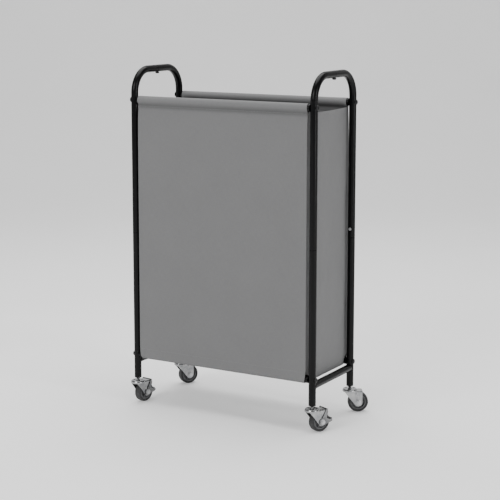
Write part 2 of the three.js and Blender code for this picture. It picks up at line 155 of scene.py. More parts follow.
def new_material(name):
    """A material's node tree, its shader, and the place on the object as a vector."""
    material = bpy.data.materials.new(name)
    material.use_nodes = True
    tree = material.node_tree
    place = shader_node(tree, "ShaderNodeTexCoord", {}).outputs["Object"]
    return material, tree, tree.nodes["Principled BSDF"], place


def ramp(tree, value, stops):
    """A colour ramp of (position, grey or colour) stops."""
    made = shader_node(tree, "ShaderNodeValToRGB", {"Fac": value})
    elements = made.color_ramp.elements
    while len(elements) < len(stops):
        elements.new(0.5)
    for element, (place, colour) in zip(elements, stops):
        element.position = place
        element.color = rgba(colour)
    return made.outputs["Color"]


def noise_at(tree, coordinates, scale, detail=4.0, roughness=0.55, stretch=None):
    """Noise with features about 1/scale metres across."""
    if stretch:
        mapping = shader_node(tree, "ShaderNodeMapping", {"Vector": coordinates, "Scale": stretch})
        coordinates = mapping.outputs["Vector"]
    inputs = {"Vector": coordinates, "Scale": scale, "Detail": detail, "Roughness": roughness}
    return shader_node(tree, "ShaderNodeTexNoise", inputs).outputs["Fac"]


def bump(tree, height, distance, strength=1.0, normal=None):
    inputs = {"Height": height, "Distance": distance, "Strength": strength}
    if normal is not None:
        inputs["Normal"] = normal
    return shader_node(tree, "ShaderNodeBump", inputs).outputs["Normal"]


def to_range(tree, value, low, high):
    inputs = {"Value": value, "To Min": low, "To Max": high}
    return shader_node(tree, "ShaderNodeMapRange", inputs).outputs["Result"]


def maths(tree, operation, a, b=0.5):
    return shader_node(tree, "ShaderNodeMath", {0: a, 1: b}, operation=operation).outputs[0]


def mixed(tree, factor, a, b, mode="MIX"):
    """Colour b over colour a, by a factor."""
    inputs = {0: factor, 6: a, 7: b}
    return shader_node(tree, "ShaderNodeMix", inputs, data_type="RGBA", blend_type=mode).outputs[2]


def powder_coat():
    """Semi-gloss black powder coat: fine orange peel, slight cloudiness and faint scuffs."""
    material, tree, shader, place = new_material("black_powder_coat")
    cloud = noise_at(tree, place, 14, 3)
    scuff = noise_at(tree, place, 160, 6, 0.7, (1, 1, 0.12))
    base = ramp(tree, cloud, [(0.3, (0.0018, 0.0018, 0.002)), (0.7, (0.0036, 0.0036, 0.0038))])
    worn = ramp(tree, scuff, [(0.66, 0.0), (0.78, 1.0)])
    peel = noise_at(tree, place, 1100, 2, 0.5)
    set_inputs(shader, {
        "Base Color": mixed(tree, worn, base, (0.009, 0.009, 0.0095)),
        "Normal": bump(tree, peel, 0.00002, 0.4),
        "Roughness": to_range(tree, noise_at(tree, place, 45, 4), 0.19, 0.25),
        "Specular IOR Level": 0.14,
    })
    return material


def screw_black():
    """Black zinc on small screws: a thin cloudy coat over metal."""
    material, tree, shader, place = new_material("black_screws")
    cloud = noise_at(tree, place, 260, 4)
    tones = [(0.3, (0.012, 0.012, 0.013)), (0.75, (0.03, 0.03, 0.031))]
    set_inputs(shader, {
        "Base Color": ramp(tree, cloud, tones),
        "Metallic": 0.6,
        "Roughness": to_range(tree, cloud, 0.28, 0.5),
        "Normal": bump(tree, noise_at(tree, place, 2600, 2), 0.00004, 0.5),
    })
    return material


def zinc(name, low, high, rough_low, rough_high):
    """Bright zinc plate on pressed steel: cloudy tint, fine rolled grain, small dull marks."""
    material, tree, shader, place = new_material(name)
    tint = ramp(tree, noise_at(tree, place, 70, 5, 0.6), [(0.3, low), (0.7, high)])
    dull = ramp(tree, noise_at(tree, place, 420, 6, 0.75), [(0.62, 0.0), (0.8, 0.5)])
    grain = noise_at(tree, place, 900, 4, 0.6, (1, 1, 0.2))
    set_inputs(shader, {
        "Base Color": mixed(tree, dull, tint, (0.42, 0.42, 0.40)),
        "Metallic": 1.0,
        "Roughness": to_range(tree, grain, rough_low, rough_high),
        "Normal": bump(tree, grain, 0.00004, 0.5),
    })
    return material


def rubber():
    """Dark grey rubber with a dusty bloom and a lightly scuffed tread."""
    material, tree, shader, place = new_material("tyre_rubber")
    cloud = noise_at(tree, place, 120, 5, 0.6)
    dust = noise_at(tree, place, 900, 5, 0.7)
    base = ramp(tree, cloud, [(0.3, (0.013, 0.013, 0.014)), (0.75, (0.029, 0.029, 0.030))])
    dusty = ramp(tree, dust, [(0.58, 0.0), (0.8, 0.45)])
    set_inputs(shader, {
        "Base Color": mixed(tree, dusty, base, (0.065, 0.064, 0.062)),
        "Roughness": to_range(tree, dust, 0.5, 0.78),
        "Normal": bump(tree, dust, 0.0001, 0.5),
    })
    return material


def hub_plastic():
    """Grey moulded plastic with a fine grain."""
    material, tree, shader, place = new_material("hub_plastic")
    cloud = noise_at(tree, place, 90, 4)
    grain = noise_at(tree, place, 1800, 3)
    set_inputs(shader, {
        "Base Color": ramp(tree, cloud, [(0.3, (0.07, 0.071, 0.074)), (0.7, (0.105, 0.106, 0.11))]),
        "Roughness": to_range(tree, grain, 0.38, 0.55),
        "Normal": bump(tree, grain, 0.00005, 0.5),
    })
    return material


WEAVE_PITCH = 0.62 * MM
YARN_DARK, YARN_LIGHT = (0.156, 0.1565, 0.158), (0.176, 0.1765, 0.178)
# Painted shade on the panels: each band's height, how far above and below it, and its tint.
PAINTED_SHADE_BANDS = ((TOP_RAIL_Z - 11.5 * MM, 13 * MM, 0.62), (BOTTOM_RAIL_Z - 9 * MM, 6 * MM, 0.7))


def painted_shade_band(tree, height, centre, reach, least):
    """Painted shade: a tint that falls to least at a height, back to 1 at reach above or below it.
    """
    far = maths(tree, "ABSOLUTE", maths(tree, "SUBTRACT", height, centre))
    inputs = {"Value": far, "From Max": reach, "To Min": least, "To Max": 1.0}
    made = shader_node(tree, "ShaderNodeMapRange", inputs, interpolation_type="SMOOTHSTEP")
    return made.outputs["Result"]


def woven(tree, uv):
    """The height of a plain weave: yarns along U and V, over and under each other."""
    parts = shader_node(tree, "ShaderNodeSeparateXYZ", {"Vector": uv})
    yarns = []
    for axis in ("X", "Y"):
        turn = maths(tree, "MULTIPLY", parts.outputs[axis], math.pi / WEAVE_PITCH)
        yarns.append(maths(tree, "ABSOLUTE", maths(tree, "SINE", turn)))
    inputs = {"Vector": uv, "Scale": (1 / WEAVE_PITCH,) * 3}
    scaled = shader_node(tree, "ShaderNodeMapping", inputs).outputs["Vector"]
    over = shader_node(tree, "ShaderNodeTexChecker", {"Vector": scaled, "Scale": 1.0})
    inputs = {0: over.outputs["Fac"], 2: yarns[0], 3: yarns[1]}
    return shader_node(tree, "ShaderNodeMix", inputs, data_type="FLOAT").outputs[0]


def fabric(name, painted_crease_shade=False):
    """Oxford cloth: a plain weave of grey yarns from the piece's own UVs, which are in metres.
    Cloth for the front and back panels is darkened as painted shade in the crease under the top
    rail and along its bottom edge."""
    material, tree, shader, place = new_material(name)
    uv = shader_node(tree, "ShaderNodeTexCoord", {}).outputs["UV"]
    weave = woven(tree, uv)
    slub = noise_at(tree, uv, 900, 2, 0.5, (1, 0.1, 1))
    slub_weft = noise_at(tree, uv, 900, 2, 0.5, (0.1, 1, 1))
    both = maths(tree, "ADD", slub, slub_weft)
    yarn = ramp(tree, maths(tree, "MULTIPLY", both, 0.5), [(0.35, YARN_DARK), (0.65, YARN_LIGHT)])
    # Painted shade: the hollows between the yarns get a much darker colour.
    shade_between_yarns = tuple(0.35 * v for v in YARN_DARK)
    deep = mixed(tree, to_range(tree, weave, 0.16, 0.0), yarn, shade_between_yarns)
    cloudy = ramp(tree, noise_at(tree, place, 9, 3), [(0.3, 0.96), (0.7, 1.0)])
    tinted = mixed(tree, 1.0, deep, cloudy, "MULTIPLY")
    # Painted shade: darker bands in the crease under the top rail and along the bottom sleeve.
    if painted_crease_shade:
        height = shader_node(tree, "ShaderNodeSeparateXYZ", {"Vector": place}).outputs["Z"]
        for row in PAINTED_SHADE_BANDS:
            tinted = mixed(tree, 1.0, tinted, painted_shade_band(tree, height, *row), "MULTIPLY")
    fold = bump(tree, noise_at(tree, place, 38, 3), 0.0006, 0.25)
    set_inputs(shader, {
        "Base Color": tinted,
        "Normal": bump(tree, weave, 0.00012, 0.5, fold),
        "Roughness": to_range(tree, both, 0.78, 0.92),
        "Specular IOR Level": 0.25,
        "Sheen Weight": 0.12,
        "Sheen Roughness": 0.5,
    })
    return material


def thread():
    """Twisted thread, a little lighter than the cloth."""
    material, tree, shader, place = new_material("stitch_thread")
    twist = noise_at(tree, place, 3000, 2, 0.5)
    set_inputs(shader, {
        "Base Color": ramp(tree, twist, [(0.35, (0.15, 0.15, 0.152)), (0.65, (0.24, 0.24, 0.243))]),
        "Normal": bump(tree, twist, 0.00008, 0.6),
        "Roughness": 0.6,
    })
    return material


BLACK = powder_coat()
SCREW = screw_black()
ZINC = zinc("zinc_plate", (0.27, 0.275, 0.29), (0.42, 0.42, 0.415), 0.14, 0.3)
PEDAL_ZINC = zinc("zinc_plate_pedals", (0.14, 0.143, 0.15), (0.25, 0.25, 0.25), 0.12, 0.26)
STEEL = zinc("bare_steel", (0.42, 0.43, 0.45), (0.58, 0.58, 0.58), 0.22, 0.38)
RUBBER = rubber()
HUB = hub_plastic()
FABRIC = fabric("bag_fabric")
# The front and back panels' cloth, with painted shade under the top rail and at the bottom sleeve.
PANEL_FABRIC_PAINTED_SHADE = fabric("bag_fabric_panels_painted_shade", True)
THREAD = thread()


# ---- Making pieces ------------------------------------------------------------------------
def piece(name, mesh, material, body, replaces=(), smooth_angle=35):
    """A mesh in the row frame as a finished piece of the object."""
    mesh.materials.clear()
    mesh.materials.append(material)
    for polygon in mesh.polygons:
        polygon.use_smooth = True
    mesh.set_sharp_from_angle(angle=math.radians(smooth_angle))
    made = linked(name, mesh)
    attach(made, body)
    if replaces:
        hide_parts(*replaces)
    return made


def stand_in(node, mesh, material, body):
    """A finished piece that shows in place of a CAD node."""
    return piece(f"{node}_fine", mesh, material, body, [node])


def mesh_of(name, points, faces):
    mesh = bpy.data.meshes.new(name)
    mesh.from_pydata([tuple(p) for p in points], [], faces)
    mesh.update()
    return mesh


def turned(name, profile, sides=48):
    """A solid of revolution about Z from a closed list of (radius, height)."""
    points, faces, rings = [], [], []
    area = sum(
        r0 * h1 - r1 * h0 for (r0, h0), (r1, h1) in zip(profile, profile[1:] + profile[:1])
    )
    if area < 0:
        profile = profile[::-1]
    for radius, height in profile:
        if radius < 1e-7:
            rings.append([len(points)])
            points.append((0, 0, height))
            continue
        rings.append(list(range(len(points), len(points) + sides)))
        for i in range(sides):
            a = 2 * math.pi * i / sides
            points.append((radius * math.cos(a), radius * math.sin(a), height))
    for low, high in zip(rings, rings[1:] + rings[:1]):
        if len(low) == 1 and len(high) == 1:
            continue
        for i in range(sides):
            j = (i + 1) % sides
            if len(low) == 1:
                faces.append((low[0], high[j], high[i]))
            elif len(high) == 1:
                faces.append((low[i], low[j], high[0]))
            else:
                faces.append((low[i], low[j], high[j], high[i]))
    return mesh_of(name, points, faces)


def rounded(profile, radius, steps=3):
    """The closed profile with each corner that has room for it rounded off."""
    made = []
    count = len(profile)
    for i in range(count):
        before = Vector(profile[i - 1])
        here = Vector(profile[i])
        after = Vector(profile[(i + 1) % count])
        if here.x < 1e-7:
            made.append(tuple(here))
            continue
        back, on = before - here, after - here
        reach = min(radius, 0.45 * back.length, 0.45 * on.length)
        start, end = here + back.normalized() * reach, here + on.normalized() * reach
        for k in range(steps + 1):
            t = k / steps
            made.append(tuple((1 - t) ** 2 * start + 2 * t * (1 - t) * here + t * t * end))
    return made


def swept(name, path, normal, outer, inner, sides=40, lip=0.5 * MM):
    """A hollow tube along a plane path, with rounded lips. Normal is square to the path's plane."""
    path = [Vector(p) for p in path]
    points, rings = [], []

    def ring_at(place, direction, radius):
        across = normal.cross(direction).normalized()
        rings.append(range(len(points), len(points) + sides))
        for i in range(sides):
            a = 2 * math.pi * i / sides
            points.append(place + radius * (math.cos(a) * across + math.sin(a) * normal))

    def direction_at(i):
        if i == 0:
            return (path[1] - path[0]).normalized()
        if i == len(path) - 1:
            return (path[-1] - path[-2]).normalized()
        onward, back = path[i + 1] - path[i], path[i] - path[i - 1]
        return (onward.normalized() + back.normalized()).normalized()

    first, last = direction_at(0), direction_at(len(path) - 1)
    # From the end in along the path, and how far each ring is inside the tube's outer radius.
    rings_at_end = ((0, lip), (0.3 * lip, 0.3 * lip), (lip, 0), (3 * lip, 0))
    for along, less in rings_at_end:
        ring_at(path[0] + along * first, first, outer - less)
    for i in range(1, len(path) - 1):
        ring_at(path[i], direction_at(i), outer)
    for along, less in rings_at_end[::-1]:
        ring_at(path[-1] - along * last, last, outer - less)
    ring_at(path[-1], last, inner)
    for i in range(len(path) - 2, 0, -1):
        ring_at(path[i], direction_at(i), inner)
    ring_at(path[0], first, inner)
    faces = []
    for low, high in zip(rings, rings[1:] + rings[:1]):
        for i in range(sides):
            j = (i + 1) % sides
            faces.append((low[i], low[j], high[j], high[i]))
    return outward(mesh_of(name, points, faces))


def outward(mesh):
    """Turns the faces of a closed mesh to point out."""
    work = bmesh.new()
    work.from_mesh(mesh)
    bmesh.ops.recalc_face_normals(work, faces=work.faces)
    work.to_mesh(mesh)
    work.free()
    return mesh


def bevelled(mesh, width, segments=2, angle=30):
    """The mesh with its sharp edges rounded."""
    holder = linked("holder", mesh)
    modifier = holder.modifiers.new("bevel", "BEVEL")
    modifier.width = width
    modifier.segments = segments
    modifier.limit_method = "ANGLE"
    modifier.angle_limit = math.radians(angle)
    return applied(holder)


def applied(holder):
    """The holder's mesh with its modifiers applied. The holder is removed."""
    bpy.context.view_layer.update()
    view = bpy.context.evaluated_depsgraph_get()
    mesh = bpy.data.meshes.new_from_object(holder.evaluated_get(view))
    bpy.data.objects.remove(holder)
    return mesh


def combined(first, others, operation="UNION"):
    """Boolean of meshes, one after another."""
    holder = linked("holder", first)
    tools = [linked("tool", mesh) for mesh in others]
    for tool in tools:
        modifier = holder.modifiers.new("boolean", "BOOLEAN")
        modifier.operation = operation
        modifier.solver = "EXACT"
        modifier.object = tool
    mesh = applied(holder)
    for tool in tools:
        bpy.data.objects.remove(tool)
    return mesh


def plate(name, outline, low, high):
    """An outline in X and Z, given thickness along Y."""
    count = len(outline)
    points = [(x, low, z) for x, z in outline] + [(x, high, z) for x, z in outline]
    faces = [tuple(range(count)), tuple(range(2 * count - 1, count - 1, -1))]
    faces += [(i, (i + 1) % count, (i + 1) % count + count, i + count) for i in range(count)]
    return outward(mesh_of(name, points, faces))


def rod(name, radius, start, end, sides=32):
    """A plain cutter or shank between two points."""
    axis = Vector(end) - Vector(start)
    mesh = turned(name, [(0, 0), (radius, 0), (radius, axis.length), (0, axis.length)], sides)
    turn = axis.to_track_quat("Z", "Y").to_matrix().to_4x4()
    mesh.transform(Matrix.Translation(start) @ turn)
    return mesh


def at(mesh, place, turn=None):
    """The mesh turned and moved to a place."""
    mesh.transform(Matrix.Translation(place) @ (turn or Matrix.Identity(4)))
    return mesh


def arc(centre, radius, start, end, steps):
    """Points on an arc in a plane, from start to end in degrees."""
    made = []
    for i in range(steps + 1):
        a = math.radians(start + (end - start) * i / steps)
        made.append((centre[0] + radius * math.cos(a), centre[1] + radius * math.sin(a)))
    return made


# ---- Frame tubes --------------------------------------------------------------------------
WALL = 1.2 * MM
TUBE_SIDES = 48
BEND_R = 56 * MM
BEND_STEPS = 28
ARCH_SEAM_Y = -8 * MM
SPIGOT_R = 7.1 * MM
SPIGOT_LENGTH = 40 * MM
STEM_HOLE_R = 4.7 * MM
STEM_NUT_LENGTH = 20 * MM
SCREW_HOLE_R = 3 * MM
BUTTON_Z = SEAM_Z + 20 * MM
BUTTON_HOLE_R = 4 * MM
# The button from its tail to its domed tip: (radius, distance from the post's axis).
BUTTON_PROFILE = ((0, 3), (3.5, 3), (3.5, 9.6), (3.3, 10.5), (2.6, 11.2), (1.4, 11.5), (0, 11.6))
X_AXIS, Z_AXIS = Vector((1, 0, 0)), Vector((0, 0, 1))
UPSIDE_DOWN = Matrix.Rotation(math.pi, 4, "X")


def arch_path(post, towards, reach):
    """From the mid-height joint up the post's axis, round the bend and along the arch's top."""
    arm_z = ARCH_TOP_Z - TUBE_R
    bend_z = arm_z - BEND_R
    straight = [SEAM_Z + (bend_z - SEAM_Z) * i / 8 for i in range(9)]
    path = [Vector((post.x, post.y, z)) for z in straight]
    for i in range(1, BEND_STEPS + 1):
        a = math.pi / 2 * i / BEND_STEPS
        y = post.y + towards * BEND_R * (1 - math.cos(a))
        path.append(Vector((post.x, y, bend_z + BEND_R * math.sin(a))))
    path.append(Vector((post.x, post.y + towards * (BEND_R + reach) / 2, arm_z)))
    path.append(Vector((post.x, post.y + towards * reach, arm_z)))
    return path


def button_hole(post, towards):
    start = Vector((post.x, post.y + towards * 4 * MM, BUTTON_Z))
    return rod("hole", BUTTON_HOLE_R, start, start + Vector((0, towards * 9 * MM, 0)))


def lower_post(corner, towards):
    """A lower post: rounded foot, swaged shoulder and spigot, and a stem nut in the foot."""
    post = POSTS[corner]
    profile = [
        (STEM_HOLE_R, POST_END_Z + 0.3 * MM),
        (TUBE_R - 1.1 * MM, POST_END_Z),
        (TUBE_R - 0.35 * MM, POST_END_Z + 0.3 * MM),
        (TUBE_R, POST_END_Z + 1.2 * MM),
        (TUBE_R, POST_END_Z + 2.5 * MM),
        (TUBE_R, BOTTOM_RAIL_Z),
        (TUBE_R, SEAM_Z - 2.5 * MM),
        (TUBE_R, SEAM_Z - 0.9 * MM),
        (TUBE_R - 0.4 * MM, SEAM_Z - 0.3 * MM),
        (SPIGOT_R, SEAM_Z + 0.2 * MM),
        (SPIGOT_R, SEAM_Z + SPIGOT_LENGTH - 1 * MM),
        (SPIGOT_R - 0.6 * MM, SEAM_Z + SPIGOT_LENGTH),
        (SPIGOT_R - WALL, SEAM_Z + SPIGOT_LENGTH),
        (SPIGOT_R - WALL, SEAM_Z),
        (TUBE_R - WALL, SEAM_Z - 6 * MM),
        (TUBE_R - WALL, POST_END_Z + STEM_NUT_LENGTH),
        (STEM_HOLE_R, POST_END_Z + STEM_NUT_LENGTH),
    ]
    mesh = at(turned("post", profile, TUBE_SIDES), (post.x, post.y, 0))
    return combined(mesh, [button_hole(post, towards)], "DIFFERENCE")


def screw_mesh(head_r, head_height, length):
    """A pan-head screw along Z with a cross recess and a washer face, its seat at z = 0."""
    shank_r = 2.3 * MM
    profile = [
        (0, -length),
        (shank_r - 0.4 * MM, -length),
        (shank_r, -length + 0.6 * MM),
        (shank_r, 0),
        (head_r * 0.98, 0),
        (head_r, 0.25 * MM),
        (head_r, 0.3 * head_height),
        (head_r * 0.93, 0.55 * head_height),
        (head_r * 0.76, 0.82 * head_height),
        (head_r * 0.5, 0.96 * head_height),
        (0, head_height),
    ]
    depth = 0.45 * head_height
    long, wide = 0.52 * head_r, 0.11 * head_r
    arms = []
    for x, y in ((long, wide), (wide, long)):
        arms.append(plate("recess", [(-x, -depth), (x, -depth), (x, depth), (-x, depth)], -y, y))
        at(arms[-1], (0, 0, head_height))
    return combined(turned("screw", profile, 40), arms, "DIFFERENCE")


def weld_bead(post, towards):
    """The fillet weld where a crossbar meets a post, with a rippled surface."""
    around, section = 56, 10
    points, faces = [], []
    for i in range(around):
        a = 2 * math.pi * i / around
        dx, dz = TUBE_R * math.cos(a), TUBE_R * math.sin(a)
        reach = math.sqrt(max(TUBE_R**2 - dx**2, 0))
        foot = Vector((post.x + dx, post.y + towards * reach, CROSSBAR_Z + dz))
        out = Vector((math.cos(a) * 0.8, towards * 0.6, math.sin(a) * 0.8)).normalized()
        along = Vector((0, towards, 0))
        size = (1.5 + 0.18 * math.sin(9 * a) + 0.1 * math.sin(23 * a)) * MM
        for k in range(section):
            b = 2 * math.pi * k / section
            points.append(foot + size * (0.75 * math.cos(b) * out + math.sin(b) * along))
            j, m = (i + 1) % around, (k + 1) % section
            faces.append((i * section + k, j * section + k, j * section + m, i * section + m))
    return outward(mesh_of("weld", points, faces))


def black_tube(node, mesh):
    stand_in(node, mesh, BLACK, "frame")


def build_post(corner):
    """A lower post, the arch tube on it and the spring button that locks the two."""
    post = POSTS[corner]
    is_front = corner.startswith("front")
    towards = 1 if is_front else -1
    reach = POST_Y + towards * ARCH_SEAM_Y - 0.15 * MM
    tube = swept("arch", arch_path(post, towards, reach), X_AXIS, TUBE_R, TUBE_R - WALL, TUBE_SIDES)
    if is_front:
        end = Vector((post.x, post.y + reach, ARCH_TOP_Z - TUBE_R))
        path = [end + Vector((0, y * MM, 0)) for y in (-6, 10, 26)]
        tube = joined([tube, swept("spigot", path, X_AXIS, SPIGOT_R, SPIGOT_R - WALL)])
    black_tube(f"arch_tube_{corner}", combined(tube, [button_hole(post, towards)], "DIFFERENCE"))
    black_tube(f"lower_post_{corner}", lower_post(corner, towards))
    button = turned("button", [(r * MM, h * MM) for r, h in BUTTON_PROFILE], 32)
    turn = Matrix.Rotation(-math.pi / 2 * towards, 4, "X")
    at(button, (post.x, post.y, BUTTON_Z), turn)
    stand_in(f"spring_button_{corner}", button, STEEL, f"button_{corner}")


def build_end(side):
    """The crossbar at one end of the frame, its welds, and the screw under the arch."""
    front, rear = POSTS[f"front_{side}"], POSTS[f"rear_{side}"]
    start = Vector((front.x, front.y + 5 * MM, CROSSBAR_Z))
    end = Vector((rear.x, rear.y - 5 * MM, CROSSBAR_Z))
    path = [start.lerp(end, i / 6) for i in range(7)]
    bar = swept("bar", path, X_AXIS, TUBE_R, TUBE_R - WALL, TUBE_SIDES)
    feet = [post.xy.to_3d() for post in (front, rear)]
    cutters = [rod("cutter", TUBE_R + 0.05 * MM, p, p + Vector((0, 0, 0.3)), 64) for p in feet]
    black_tube(f"crossbar_{side}", combined(bar, cutters, "DIFFERENCE"))
    for name, post, towards in (("front", front, 1), ("rear", rear, -1)):
        bead = weld_bead(post, towards)
        piece(f"weld_{name}_{side}", bead, BLACK, "frame")
    seat = (front.x, CENTRE.y, ARCH_TOP_Z - 2 * TUBE_R - 0.25 * MM)
    screw = at(screw_mesh(5.2 * MM, 4.2 * MM, 8 * MM), seat, UPSIDE_DOWN)
    stand_in(f"arch_screw_{side}", screw, SCREW, "frame")


def build_rail(level, end, z):
    """A rail and the screw at each of its ends, with its cross recess at a chance angle."""
    low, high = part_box(f"{level}_rail_{end}")
    y = (low.y + high.y) / 2
    path = [Vector((low.x + (high.x - low.x) * i / 6, y, z)) for i in range(7)]
    black_tube(f"{level}_rail_{end}", swept("rail", path, Z_AXIS, TUBE_R, SCREW_HOLE_R, TUBE_SIDES))
    for side, sign in SIDES:
        outwards = Matrix.Rotation(sign * math.pi / 2, 4, "Y")
        turn = outwards @ Matrix.Rotation(random.uniform(0, 1.5), 4, "Z")
        place = (CENTRE.x + sign * (POST_X + TUBE_R + 0.1 * MM), y, z)
        screw = at(screw_mesh(6.2 * MM, 2.7 * MM, 31 * MM), place, turn)
        stand_in(f"rail_screw_{level}_{end}_{side}", screw, SCREW, "frame")


def build_frame():
    for corner in CORNERS:
        build_post(corner)
    for side, _ in SIDES:
        build_end(side)
    for level, z in (("top", TOP_RAIL_Z), ("bottom", BOTTOM_RAIL_Z)):
        for end, _ in ENDS:
            build_rail(level, end, z)


def joined(meshes):
    """Several meshes as one mesh of separate shells."""
    work = bmesh.new()
    for mesh in meshes:
        work.from_mesh(mesh)
    made = bpy.data.meshes.new("joined")
    work.to_mesh(made)
    work.free()
    return made


build_frame()


# ---- Casters ------------------------------------------------------------------------------
# Each is made in its own millimetres: the swivel axis is X = Y = 0, the wheel trails along +X.
WHEEL_R = 25
WHEEL_HALF = 9
TRAIL = 20
FORK_IN = 10.3
FORK_OUT = 12.5
CROWN_Z = 52
RACE_TOP = 57.8
PEDAL_IN = 13
PEDAL_OUT = 14.5
PIN_HOLE_R = 4.6
AXLE_HOLE_R = 4.2
STEM_R = 4.3
THREAD_PITCH = 1.25
LEAF_IN = 26.05
LEAF_OUT = 26.8
AXLE = (TRAIL, 0, WHEEL_R)


def caster_place(corner):
    """From a caster's own millimetres to the row frame."""
    pin = Vector(JOINTS[f"swivel_turn_{corner}"]["pos_m"])
    wheel = JOINTS[f"wheel_roll_{corner}"]
    trailing = Vector(wheel["pos_m"]) - pin
    trailing.z = 0
    columns = (trailing.normalized(), Vector(wheel["axis"]), Vector((0, 0, 1)))
    turn = Matrix(columns).transposed().to_4x4()
    return Matrix.Translation((pin.x, pin.y, 0)) @ turn @ Matrix.Scale(MM, 4)


def on_axle(mesh):
    """A mesh turned about Z, laid along the axle."""
    return at(mesh, AXLE, Matrix.Rotation(-math.pi / 2, 4, "X"))


def axle_cutter(radius):
    return rod("cutter", radius, (TRAIL, -20, WHEEL_R), (TRAIL, 20, WHEEL_R))


def fork_mesh():
    """A strip folded to a U, cut to the legs' outline, with a rib on each leg and a race on top."""
    top = CROWN_Z + 2.2
    fold = arc((FORK_OUT - 3.4, top - 3.4), 3.4, 0, 90, 8)
    fold += arc((3.4 - FORK_OUT, top - 3.4), 3.4, 90, 180, 8)
    fold += [(-FORK_OUT, 12), (-FORK_IN, 12)]
    fold += arc((1.2 - FORK_IN, CROWN_Z - 1.2), 1.2, 180, 90, 5)
    fold += arc((FORK_IN - 1.2, CROWN_Z - 1.2), 1.2, 90, 0, 5)
    fold += [(FORK_IN, 12), (FORK_OUT, 12)]
    strip = plate("fork", fold, -31, 14)
    strip.transform(Matrix.Rotation(math.pi / 2, 4, "Z"))
    leg = arc((TRAIL, WHEEL_R), 10, 218.9, 360, 24)
    leg += [(30, top + 2), (-13, top + 2)] + arc((-10.6, CROWN_Z - 0.6), 2.4, 180, 229, 4)
    strip = combined(strip, [plate("leg", leg, -14, 14)], "INTERSECT")
    under = [(5, 0.4), (16, 0.4), (16.8, -0.8), (18.2, -0.8)]
    over = [(18.2, -2.8), (16.4, 0), (13.4, 0), (11.6, -1.7), (9.4, -1.7), (8.2, -1), (5, -1)]
    race = [(r, CROWN_Z + z) for r, z in under] + [(r, RACE_TOP + z) for r, z in over]
    ribs = []
    for side in (-1, 1):
        profile = [(0, -12), (1.1, -11.6), (2.0, -10), (2.0, 8), (1.1, 9.8), (0, 10.2)]
        rib = turned("rib", profile, 20)
        shape = Matrix.Rotation(math.radians(-8), 4, "Y") @ Matrix.Diagonal((1.1, 0.5, 1, 1))
        ribs.append(at(rib, (15.5, side * FORK_OUT, 41), shape))
    mesh = combined(strip, [turned("race", rounded(race, 1.0, 4), 64)] + ribs)
    pin = rod("cutter", PIN_HOLE_R, (0, 0, 40), (0, 0, 62), 40)
    mesh = combined(mesh, [axle_cutter(AXLE_HOLE_R), pin], "DIFFERENCE")
    return bevelled(mesh, 0.3, 2, 50)


def stem_mesh():
    """The threaded stem, its rivet head under the crown and the turned groove above the race."""
    high = POST_END_Z / MM + 17.6
    profile = [(0, CROWN_Z - 4), (4.4, CROWN_Z - 4), (6.4, CROWN_Z - 3.2), (7.2, CROWN_Z - 2.2)]
    profile += [(7.2, CROWN_Z - 0.7), (4, CROWN_Z - 0.6), (4, RACE_TOP + 0.4)]
    profile.append((STEM_R, RACE_TOP + 0.7))
    z = RACE_TOP + 1.1
    while z + THREAD_PITCH < high:
        profile += [(STEM_R, z), (STEM_R - 0.55, z + 0.5 * THREAD_PITCH)]
        z += THREAD_PITCH
    profile += [(STEM_R, z), (STEM_R - 0.9, high), (0, high)]
    return turned("stem", profile, 40)


def axle_mesh(half):
    """The axle bolt: domed hexagon head at +Y, washer, nut and the bolt's end at -Y."""
    end, nut_end, nut, washer = (-half - d for d in (4.6, 3.6, 0.8, 0.25))
    seat, flange, head = (half + d for d in (0.25, 1.2, 1))
    shank_profile = [(0, end), (3.3, end), (3.9, end + 0.6), (3.9, head), (0, head)]
    nut_profile = [(3.8, nut_end), (5.3, nut_end), (6.1, nut_end + 0.5), (6.1, nut), (3.8, nut)]
    washer_profile = [(4, nut), (6.6, nut), (6.6, washer), (4, washer)]
    flange_profile = [(0, seat), (6.6, seat), (6.6, half + 0.9), (5.6, flange), (0, flange)]
    head_profile = [(0, head), (5.7, head), (5.7, half + 2.9)]
    head_profile += [(4.9, half + 3.5), (2.6, half + 3.75), (0, half + 3.8)]
    return on_axle(joined([
        turned("shank", shank_profile, 32),
        turned("nut", nut_profile, 6),
        turned("washer", rounded(washer_profile, 0.15, 2), 40),
        turned("flange", rounded(flange_profile, 0.2, 2), 40),
        turned("head", head_profile, 6),
    ]))


def hub_mesh():
    """A moulded hub: rim ring, thin web, boss and six ribs on each side."""
    rim = WHEEL_R - 5.9
    half = WHEEL_HALF
    low = [(4.3, -half - 0.5), (7.6, -half - 0.5), (8.4, -half + 6.5), (rim - 3.6, -half + 6.5)]
    low += [(rim - 2.9, -half + 1.5), (rim, -half + 1.5)]
    profile = low + [(r, -y) for r, y in low[::-1]]
    parts = [turned("hub", rounded(profile, 0.5, 3), 64)]
    near, far, deep = 7.2, rim - 2.8, half - 2.4
    for k in range(6):
        rib = plate("rib", [(near, -deep), (far, -deep), (far, deep), (near, deep)], -0.7, 0.7)
        parts.append(at(bevelled(rib, 0.3), (0, 0, 0), Matrix.Rotation(math.pi / 3 * k, 4, "Z")))
    return on_axle(joined(parts))


def tyre_mesh():
    """A rubber tyre with round shoulders, a bead line on each wall and a slightly crowned tread."""
    half = WHEEL_HALF
    inner = WHEEL_R - 5.7
    bead = [(0, 1.2), (0.9, 0), (2.0, 0), (2.3, 0.35), (2.7, 0.35), (3.0, 0)]
    shoulder = [(1.9, 0.25), (0.8, 1.3), (0.25, 2.9), (0.05, 5)]
    wall = [(inner + r, half - y) for r, y in bead] + [(WHEEL_R - r, half - y) for r, y in shoulder]
    other = [(r, -y) for r, y in wall[::-1]]
    profile = rounded(wall + [(WHEEL_R, 2), (WHEEL_R, -2)] + other, 0.35, 3)
    return on_axle(turned("tyre", profile, 96))


